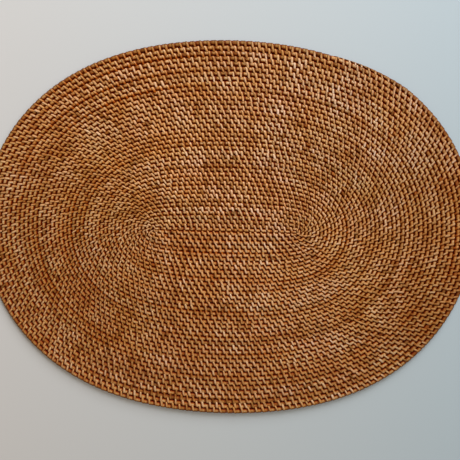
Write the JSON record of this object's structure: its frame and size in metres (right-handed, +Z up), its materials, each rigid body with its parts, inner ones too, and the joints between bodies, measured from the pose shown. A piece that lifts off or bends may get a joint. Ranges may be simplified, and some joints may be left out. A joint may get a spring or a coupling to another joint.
{
  "type": "oval rattan placemat",
  "caption": "Flat oval placemat of coiled rattan, with ridged rows that wind round a short straight middle and a rounded rim.",
  "frame": {"origin": "middle of the mat's outline, on the surface it lies on", "axes": "+X along the long way of the oval, +Y along the short way, +Z up out of the mat's face"},
  "size_m": [0.45, 0.3426, 0.005],
  "materials": {
    "rattan": "satin"
  },
  "bodies": {
    "root": {"coiled_mat": "rattan"}
  },
  "joints": []
}
